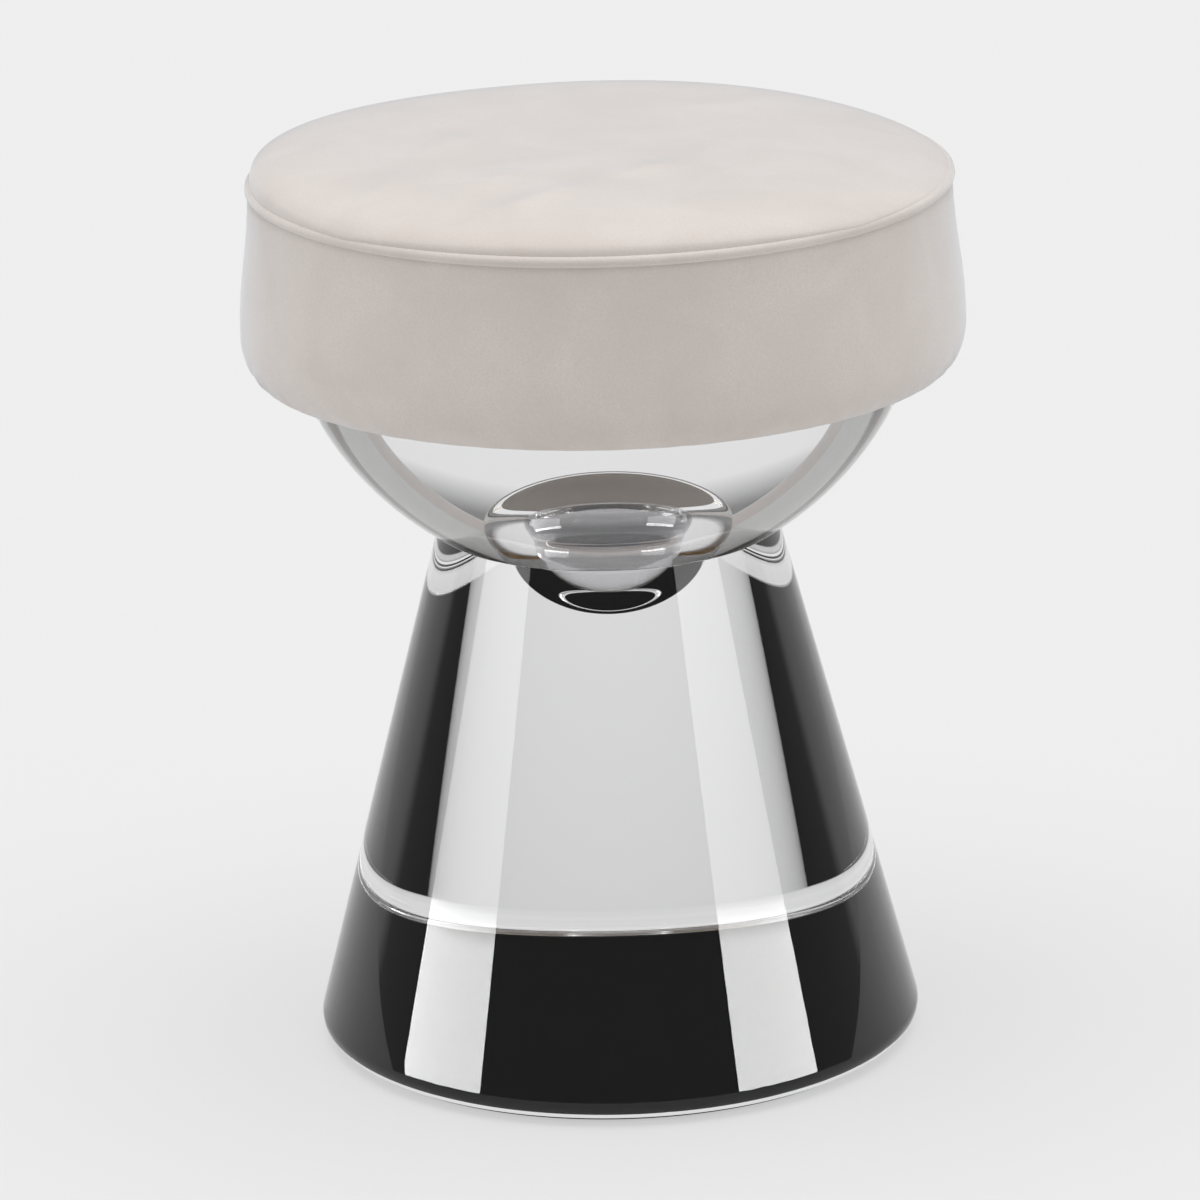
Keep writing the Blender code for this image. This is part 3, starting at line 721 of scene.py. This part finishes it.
def swell_cover(mesh, held, filling):
    """Settle the cover over its filling by cloth simulation, held at its seam and hem."""
    cover = bpy.data.objects.new("cover_form", mesh)
    scene.collection.objects.link(cover)
    cover.vertex_groups.new(name="held").add(held, 1.0, "REPLACE")
    cloth = cover.modifiers.new("Swell", "CLOTH")
    cloth.settings.quality = CLOTH_QUALITY
    cloth.settings.bending_stiffness = CLOTH_BENDING
    cloth.settings.vertex_group_mass = "held"
    cloth.settings.use_pressure = True
    cloth.settings.uniform_pressure_force = CLOTH_PRESSURE
    cloth.settings.shrink_min = CLOTH_SLACK
    cloth.settings.effector_weights.gravity = 0.0
    cloth.collision_settings.distance_min = CLOTH_CLEARANCE
    for piece in filling:
        piece.modifiers.new("Support", "COLLISION")
        piece.collision.thickness_outer = CLOTH_CLEARANCE
    cloth.point_cache.frame_end = CLOTH_FRAMES
    for number in range(1, CLOTH_FRAMES + 1):
        scene.frame_set(number)
    settled = cover.evaluated_get(bpy.context.evaluated_depsgraph_get())
    moves = [after.co - before.co for before, after in zip(mesh.vertices, settled.data.vertices)]
    bpy.data.objects.remove(cover)
    for piece in filling:
        piece.modifiers.remove(piece.modifiers["Support"])
    scene.frame_set(1)
    print("cover swell, largest move in mm:", round(max(m.length for m in moves) / MM, 2))
    for vertex, move in zip(mesh.vertices, moves):
        vertex.co += move * min(1.0, SWELL_LIMIT / max(move.length, TINY))


def crease_height(place):
    """Height of the soft creases that sitting has left in the top panel."""
    height = 0.0
    for start, end in CREASES:
        run = Vector(end) - Vector(start)
        share = min(1.0, max(0.0, (place - Vector(start)).dot(run) / run.length_squared))
        aside = (place - Vector(start) - run * share).length
        height += CREASE_HEIGHT * math.sin(math.pi * share) * math.exp(-(aside / CREASE_WIDTH) ** 2)
    return height


swell_cover(cover_mesh, held_points, [wadding_layer, foam_block])
for vertex in cover_mesh.vertices[:(PANEL_CELLS + 1) ** 2]:
    vertex.co.z += crease_height(vertex.co.xy)


def cover_part(name, faces):
    """Take a run of the cover's faces as a sheet of cloth with its own thickness."""
    shape = bmesh.new()
    shape.from_mesh(cover_mesh)
    shape.faces.ensure_lookup_table()
    others = [face for face in shape.faces if face.index not in faces]
    bmesh.ops.delete(shape, geom=others, context="FACES")
    mesh = bpy.data.meshes.new(name)
    shape.to_mesh(mesh)
    shape.free()
    mesh.shade_smooth()
    return mesh


def thicken(piece):
    """Give a cover sheet a smooth surface and its thickness, inwards."""
    smooth = piece.modifiers.new("Smooth", "SUBSURF")
    smooth.levels = 1
    smooth.render_levels = 1
    cloth = piece.modifiers.new("Cloth thickness", "SOLIDIFY")
    cloth.thickness = COVER_THICKNESS
    cloth.offset = -1.0


top_cover = add_piece("top_cover", cover_part("top_cover", range(PANEL_FACES)), [greige_velvet],
                      "greige_velvet", "cover_top_panel")
side_cover = add_piece("side_cover", cover_part("side_cover", range(PANEL_FACES, len(cover_mesh.polygons))),
                       [greige_velvet], "greige_velvet", "cover_side_band")
for sheet in (top_cover, side_cover):
    thicken(sheet)


# Welt: a cord wrapped in a bias strip of the same velvet, sewn in between the panel and the band.
# Its strip is gathered a little by the stitches, so the bead is not perfectly even.
WELT_RADIUS = 174.8 * MM
WELT_BEAD = 2.75 * MM
WELT_SIDES = 20
WELT_STEPS = 720
WELT_PUCKER = 0.05 * MM
WELT_PUCKER_SPACING = 5 * MM

shape = bmesh.new()
pucker_count = round(2 * math.pi * WELT_RADIUS / WELT_PUCKER_SPACING)
welt_rings = []
for i in range(WELT_STEPS):
    around = 2 * math.pi * i / WELT_STEPS
    out = Vector((math.cos(around), math.sin(around), 0.0))
    ring = []
    for k in range(WELT_SIDES):
        a = 2 * math.pi * k / WELT_SIDES
        bead = WELT_BEAD + WELT_PUCKER * math.sin(pucker_count * around + 2 * a)
        ring.append(shape.verts.new(out * (WELT_RADIUS + bead * math.cos(a))
                                    + Vector((0.0, 0.0, welt_height + bead * math.sin(a)))))
    welt_rings.append(ring)
for i in range(WELT_STEPS):
    here = welt_rings[i]
    ahead = welt_rings[(i + 1) % WELT_STEPS]
    for k in range(WELT_SIDES):
        m = (k + 1) % WELT_SIDES
        shape.faces.new((here[k], ahead[k], ahead[m], here[m]))
bmesh.ops.recalc_face_normals(shape, faces=shape.faces)
welt_mesh = bpy.data.meshes.new("piping")
shape.to_mesh(welt_mesh)
shape.free()
welt_mesh.shade_smooth()
add_piece("piping", welt_mesh, [greige_velvet], "greige_velvet", "welt")


# Underside: staples of zinc plated wire hold the hem, and a ring of pale non-woven cloth hides them.
CLOTH_SPECK = 1.2 * MM
STAPLE_COUNT = 12

# Spun-bonded polypropylene: thin, pale, matt, with a speckle of crossed fibres and no weave.
pale_cloth, tree, output = new_material("pale_spunbonded_cloth")
place = add_node(tree, "ShaderNodeTexCoord", {}).outputs["Object"]
specks = add_node(tree, "ShaderNodeTexNoise", {"Vector": place, "Scale": 1 / CLOTH_SPECK, "Detail": 4.0})
cloth_tone = add_node(tree, "ShaderNodeMix", {"Factor": specks.outputs["Fac"]}, data_type="RGBA")
cloth_tone.inputs["A"].default_value = colour("#d8d8d6")
cloth_tone.inputs["B"].default_value = colour("#e6e6e4")
dimples = add_node(tree, "ShaderNodeBump", {"Height": specks.outputs["Fac"], "Distance": 0.1 * MM})
cloth_shader = add_node(tree, "ShaderNodeBsdfPrincipled", {
    "Base Color": cloth_tone.outputs["Result"], "Roughness": 0.9, "Specular IOR Level": 0.2,
    "Normal": dimples.outputs["Normal"]})
tree.links.new(cloth_shader.outputs["BSDF"], output.inputs["Surface"])

for number in range(1, STAPLE_COUNT + 1):
    dress_node(f"hem_staple_{number:02d}", zinc_plated_steel)
dress_node("underside_cloth", pale_cloth)


# Studio: a sweep of pale paper, a soft light from overhead, and two tall softboxes beside the camera.
# The softboxes only show as reflections, brightest near the floor, so the paper stays evenly lit.
BACKGROUND_COLOUR = "#efefef"
FLOOR_COLOUR = "#e3e3e3"
FLOOR_WIDTH = 1.6
FLOOR_LENGTH = 60.0
FLOOR_PALENESS = 0.6
FLOOR_GAP = 0.05 * MM
SUN_STRENGTH = 2.2
SUN_ANGLE = 70
WORLD_DIFFUSE = 0.25
WORLD_SIDES = 0.9
WORLD_FRONT = 0.35
WORLD_BACK = 0.9
WORLD_ABOVE = 0.22
ROOM_EDGE = 0.42
ROOM_BLEND = 0.05
SWEEP_TOP = 0.4
SWEEP_BLEND = 0.08
SOFTBOX_DISTANCE = 2.0
SOFTBOX_HEIGHT = 1.6
SOFTBOX_FOOT = 0.015
SOFTBOX_RADIANCE = 17.0
SOFTBOX_TOP_RADIANCE = 3.5
SOFTBOX_SLANT = 0.15
SOFTBOX_FADE_START = 0.11
SOFTBOX_FADE_END = 0.14
SOFTBOXES = {"left_softbox": (-87.0, -52.7), "right_softbox": (42.3, 75.0)}

floor_paint, tree, output = new_material("pale_studio_floor")
path = add_node(tree, "ShaderNodeLightPath", {})
straight = add_node(tree, "ShaderNodeMath", {
    0: path.outputs["Is Camera Ray"], 1: path.outputs["Is Glossy Ray"]}, operation="MAXIMUM")
seen = add_node(tree, "ShaderNodeMath", {
    0: straight.outputs["Value"], 1: path.outputs["Is Transmission Ray"]}, operation="MAXIMUM")
paleness = add_node(tree, "ShaderNodeMath", {0: seen.outputs["Value"], 1: FLOOR_PALENESS},
                    operation="MULTIPLY")
matt = add_node(tree, "ShaderNodeBsdfDiffuse", {"Color": colour(FLOOR_COLOUR)})
pale = add_node(tree, "ShaderNodeEmission", {"Color": colour(BACKGROUND_COLOUR), "Strength": 1.0})
floor_shader = add_node(tree, "ShaderNodeMixShader", {
    0: paleness.outputs["Value"], 1: matt.outputs["BSDF"], 2: pale.outputs["Emission"]})
tree.links.new(floor_shader.outputs["Shader"], output.inputs["Surface"])
shape = bmesh.new()
bmesh.ops.create_grid(shape, x_segments=1, y_segments=1, size=0.5,
                      matrix=Matrix.Translation((0.0, 0.0, -FLOOR_GAP))
                      @ Matrix.Diagonal((FLOOR_WIDTH, FLOOR_LENGTH, 1.0, 1.0)))
floor_mesh = bpy.data.meshes.new("studio_floor")
shape.to_mesh(floor_mesh)
shape.free()
floor_mesh.materials.append(floor_paint)
floor = bpy.data.objects.new("studio_floor", floor_mesh)
scene.collection.objects.link(floor)

world = bpy.data.worlds.new("studio")
scene.world = world
world.use_nodes = True
tree = world.node_tree
tree.nodes.clear()
path = add_node(tree, "ShaderNodeLightPath", {})
heading = add_node(tree, "ShaderNodeSeparateXYZ", {
    "Vector": add_node(tree, "ShaderNodeTexCoord", {}).outputs["Generated"]})
sweep = add_node(tree, "ShaderNodeMapRange", {
    "Value": heading.outputs["Z"], "From Min": SWEEP_TOP - SWEEP_BLEND, "From Max": SWEEP_TOP + SWEEP_BLEND,
    "To Min": 1.0, "To Max": WORLD_ABOVE})
side = add_node(tree, "ShaderNodeMapRange", {
    "Value": heading.outputs["Y"], "From Min": ROOM_EDGE - ROOM_BLEND, "From Max": ROOM_EDGE + ROOM_BLEND,
    "To Min": WORLD_FRONT, "To Max": WORLD_BACK})
room = add_node(tree, "ShaderNodeMath", {0: side.outputs["Result"], 1: sweep.outputs["Result"]},
                operation="MULTIPLY")
shown = add_node(tree, "ShaderNodeMath", {
    0: path.outputs["Is Camera Ray"], 1: path.outputs["Is Transmission Ray"]}, operation="MAXIMUM")
sideways = add_node(tree, "ShaderNodeMath", {0: heading.outputs["X"], 1: heading.outputs["X"]},
                    operation="MULTIPLY")
soft = add_node(tree, "ShaderNodeMath", {0: sideways.outputs["Value"], 1: WORLD_SIDES, 2: WORLD_DIFFUSE},
                operation="MULTIPLY_ADD")
reflected = add_node(tree, "ShaderNodeMix", {
    "Factor": path.outputs["Is Glossy Ray"], "A": soft.outputs["Value"], "B": room.outputs["Value"]})
strength = add_node(tree, "ShaderNodeMix", {
    "Factor": shown.outputs["Value"], "A": reflected.outputs["Result"], "B": sweep.outputs["Result"]})
sky = add_node(tree, "ShaderNodeBackground", {
    "Color": colour(BACKGROUND_COLOUR), "Strength": strength.outputs["Result"]})
add_node(tree, "ShaderNodeOutputWorld", {"Surface": sky.outputs["Background"]})

sun = bpy.data.lights.new("overhead_light", "SUN")
sun.energy = SUN_STRENGTH
sun.angle = math.radians(SUN_ANGLE)
overhead = bpy.data.objects.new("overhead_light", sun)
scene.collection.objects.link(overhead)

# The softboxes shine on nothing but polished faces: rays that have left a matt surface don't see them.
diffuser, tree, output = new_material("white_softbox_cloth")
path = add_node(tree, "ShaderNodeLightPath", {})
direct = add_node(tree, "ShaderNodeMath", {0: path.outputs["Diffuse Depth"], 1: 0.5}, operation="LESS_THAN")
above = add_node(tree, "ShaderNodeSeparateXYZ", {
    "Vector": add_node(tree, "ShaderNodeTexCoord", {}).outputs["Object"]})
along = add_node(tree, "ShaderNodeMath", {
    0: above.outputs["Y"], 1: SOFTBOX_SLANT, 2: above.outputs["Z"]}, operation="MULTIPLY_ADD")
fading = add_node(tree, "ShaderNodeMapRange", {
    "Value": along.outputs["Value"], "From Min": SOFTBOX_FADE_START, "From Max": SOFTBOX_FADE_END,
    "To Min": SOFTBOX_RADIANCE, "To Max": SOFTBOX_TOP_RADIANCE})
level = add_node(tree, "ShaderNodeMath", {0: direct.outputs["Value"], 1: fading.outputs["Result"]},
                 operation="MULTIPLY")
glow = add_node(tree, "ShaderNodeEmission", {"Strength": level.outputs["Value"]})
tree.links.new(glow.outputs["Emission"], output.inputs["Surface"])
diffuser.cycles.emission_sampling = "NONE"

for name, (start, end) in SOFTBOXES.items():
    middle = math.radians((start + end) / 2)
    width = 2 * SOFTBOX_DISTANCE * math.tan(math.radians((end - start) / 2))
    place = (Matrix.Rotation(middle, 4, "Z")
             @ Matrix.Translation((0.0, -SOFTBOX_DISTANCE, SOFTBOX_FOOT + SOFTBOX_HEIGHT / 2))
             @ Matrix.Rotation(math.pi / 2, 4, "X")
             @ Matrix.Diagonal((width / 2, SOFTBOX_HEIGHT / 2, 1.0, 1.0)))
    shape = bmesh.new()
    bmesh.ops.create_grid(shape, x_segments=1, y_segments=1, size=1.0, matrix=place)
    softbox_mesh = bpy.data.meshes.new(name)
    shape.to_mesh(softbox_mesh)
    shape.free()
    softbox_mesh.materials.append(diffuser)
    softbox = bpy.data.objects.new(name, softbox_mesh)
    scene.collection.objects.link(softbox)
    softbox.visible_camera = False
    softbox.visible_diffuse = False
    softbox.visible_shadow = False


# Camera: a long lens on a stand in front of the stool, a little above it, as in the photograph.
AIM_HEIGHT = 235.5 * MM
CAMERA_DISTANCE = 3.46883
CAMERA_ELEVATION = math.radians(16.97)
CAMERA_PITCH = math.radians(17.09)
CAMERA_YAW = math.radians(-0.09)
CAMERA_ROLL = math.radians(-1.486)
CAMERA_LENS = 204.45
SENSOR_WIDTH = 36.0
LIGHT_BOUNCES = 32

camera_data = bpy.data.cameras.new("camera")
camera_data.sensor_width = SENSOR_WIDTH
camera_data.lens = CAMERA_LENS
camera = bpy.data.objects.new("camera", camera_data)
scene.collection.objects.link(camera)
stand = Vector((0.0, -math.cos(CAMERA_ELEVATION), math.sin(CAMERA_ELEVATION))) * CAMERA_DISTANCE
camera.matrix_world = (
    Matrix.Translation(stand + Vector((0.0, 0.0, AIM_HEIGHT)))
    @ Matrix.Rotation(-CAMERA_YAW, 4, "Z")
    @ Matrix.Rotation(math.pi / 2 - CAMERA_PITCH, 4, "X")
    @ Matrix.Rotation(CAMERA_ROLL, 4, "Z"))
scene.camera = camera

scene.view_settings.view_transform = "Standard"
scene.cycles.max_bounces = LIGHT_BOUNCES
scene.cycles.transmission_bounces = LIGHT_BOUNCES
scene.cycles.glossy_bounces = LIGHT_BOUNCES
scene.cycles.transparent_max_bounces = LIGHT_BOUNCES
